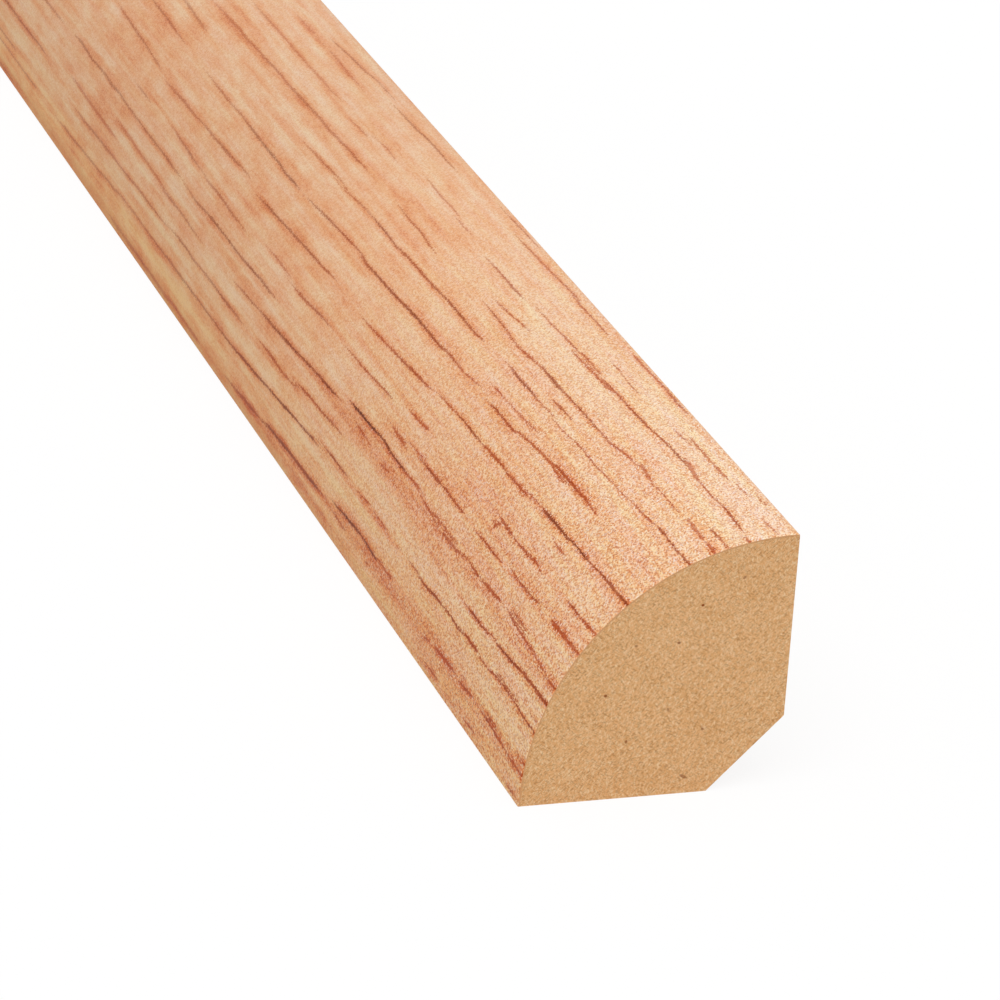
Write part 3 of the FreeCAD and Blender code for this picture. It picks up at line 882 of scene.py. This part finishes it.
def end_index(first_on_ring, first_inside):
    """Which point each place of an end grid is. Those on the outline are the tube's own, which closes the
    seam."""
    steps = np.arange(CORE_STEPS + 1)
    index = np.empty(section.shape[:2], int)
    index[:, 0] = first_on_ring + (CORE_STEPS + steps) % (2 * CORE_STEPS)
    index[:, -1] = first_on_ring + CORE_STEPS - steps
    index[0], index[-1] = index[0, 0], index[-1, 0]
    inner = index[1:-1, 1:-1]
    inner[:] = first_inside + np.arange(inner.size).reshape(inner.shape)
    return index


def make_core():
    """The outline carried along the strip, with the two end grids joined to its first and last ring."""
    ring_x = NEAR_END - np.linspace(0, LENGTH, CORE_FOLDS * RINGS_PER_FOLD + 1)
    outline = np.concatenate([arc[::-1], flats[1:-1]])
    count, loop = len(ring_x), len(outline)
    rings = np.concatenate([np.broadcast_to(ring_x[:, None, None], (count, loop, 1)),
                            np.broadcast_to(outline, (count, loop, 2))], -1).reshape(-1, 3)
    inner_near, inner_far = (face[1:-1, 1:-1].reshape(-1, 3) for face in (near_face, far_face))
    points = np.concatenate([rings, inner_near, inner_far])

    tube = tube_quads(count, loop).tolist()
    near_quads = end_quads(end_index(0, len(rings)))
    far_index = end_index((count - 1) * loop, len(rings) + len(inner_near))
    far_quads = [face[::-1] for face in end_quads(far_index)]

    along, around = quad_corners((NEAR_END - ring_x[:-1], NEAR_END - ring_x[1:]),
                                 (np.arange(loop), np.arange(1, loop + 1)))
    levels = np.linspace(0, 1, CORE_FOLDS + 1)
    tube_map = folded(along, around / loop, LENGTH / CORE_FOLDS, levels, TUBE_LEFT, TUBE_RIGHT)
    places = end_quads(np.arange(section[..., 0].size).reshape(section.shape[:2]))
    near_order, far_order = (np.concatenate(faces) for faces in (places, [face[::-1] for face in places]))
    end_map = ((section - corners.min(0)) / core_radius * END_SIZE).reshape(-1, 2)
    bake = [tube_map.reshape(-1, 2), end_map[near_order] + NEAR_PLACE, end_map[far_order] + FAR_PLACE]
    sawn = np.repeat([0, 1], [len(tube), len(near_quads) + len(far_quads)])
    return points, tube + near_quads + far_quads, {"OFBake": np.concatenate(bake)}, {"sawn": sawn}


core = add_piece("fibreboard_core", *make_core(), raw_fibreboard())
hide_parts("mdf_core")

# %% [markdown]
# ## Floor, light and camera
# The photograph is a bright product picture on white. The floor shows white to the camera, but keeps a soft
# trace of the strip's shadow. Light comes from a white sky and from a broad lamp above, together about as
# strong as the colours are written, so nothing needs correcting afterwards.

# %% White floor
FLOOR_SIZE, FLOOR_GLOW = 60.0, 0.88
PALE_GREY = (0.65, 0.65, 0.65, 1.0)


def seen_directly(tree):
    """1 for rays from the camera, or seen in gloss or through glass, and 0 for light on its way."""
    path = tree.nodes.new("ShaderNodeLightPath")
    rays = [Shade(path.outputs[name]) for name in ("Is Camera Ray", "Is Glossy Ray", "Is Transmission Ray")]
    return (rays[0] + rays[1] + rays[2]).held()


def white_floor():
    """A flat square under the strip. To the camera it is mostly a white glow, and partly a lit surface."""
    finish, tree, shader = new_finish("white_floor")
    seen = seen_directly(tree)
    tree.links.new(mix(seen, PALE_GREY, WHITE).socket, shader.inputs["Base Color"])
    shader.inputs["Roughness"].default_value = 1.0
    shader.inputs["Specular IOR Level"].default_value = 0.0
    glow = Shade.node(tree, "ShaderNodeEmission", {}, {"Color": WHITE, "Strength": 1.0})
    lit = Shade(shader.outputs[0])
    surface = Shade.node(tree, "ShaderNodeMixShader", {}, {0: seen * FLOOR_GLOW, 1: lit, 2: glow})
    tree.links.new(surface.socket, tree.nodes["Material Output"].inputs["Surface"])
    half = FLOOR_SIZE / 2
    corners = [(x, y, FLOOR) for x, y in ((-half, -half), (half, -half), (half, half), (-half, half))]
    mesh = bpy.data.meshes.new("floor")
    mesh.from_pydata(corners, [], [(0, 1, 2, 3)])
    mesh.materials.append(finish)
    floor = bpy.data.objects.new("floor", mesh)
    bpy.context.collection.objects.link(floor)


white_floor()

# %% Sky and lamp
SKY_LIGHT, LAMP_LIGHT = 0.56, 1.6
LAMP_LEAN, LAMP_SPREAD = (math.radians(10), math.radians(25), 0), math.radians(50)

world = bpy.data.worlds.new("white_sky")
world.use_nodes = True
bpy.context.scene.world = world
sky = world.node_tree.nodes["Background"]
sky.inputs["Color"].default_value = WHITE
strength = seen_directly(world.node_tree) * (1 - SKY_LIGHT) + SKY_LIGHT
world.node_tree.links.new(strength.socket, sky.inputs["Strength"])

lamp = bpy.data.lights.new("overhead_lamp", "SUN")
lamp.energy = LAMP_LIGHT
lamp.angle = LAMP_SPREAD
lamp_object = bpy.data.objects.new("overhead_lamp", lamp)
lamp_object.rotation_euler = LAMP_LEAN
bpy.context.collection.objects.link(lamp_object)

# %% Camera
STAND = Vector((309.96, -129.11, 160.50)) * MM
HEADING, DOWN, ROLL = (math.radians(angle) for angle in (70.906, 22.736, 3.812))
LENS, SENSOR = 191.81, 36.0

camera = bpy.data.cameras.new("camera")
camera.lens, camera.sensor_width = LENS, SENSOR
camera_object = bpy.data.objects.new("camera", camera)
aim = (Matrix.Rotation(HEADING, 4, "Z") @ Matrix.Rotation(math.pi / 2 - DOWN, 4, "X")
       @ Matrix.Rotation(ROLL, 4, "Z"))
camera_object.matrix_world = Matrix.Translation(Vector((NEAR_END, WALL, FLOOR)) + STAND) @ aim
camera.clip_start = 0.01
bpy.context.collection.objects.link(camera_object)
bpy.context.scene.camera = camera_object
bpy.context.scene.view_settings.view_transform = "Standard"
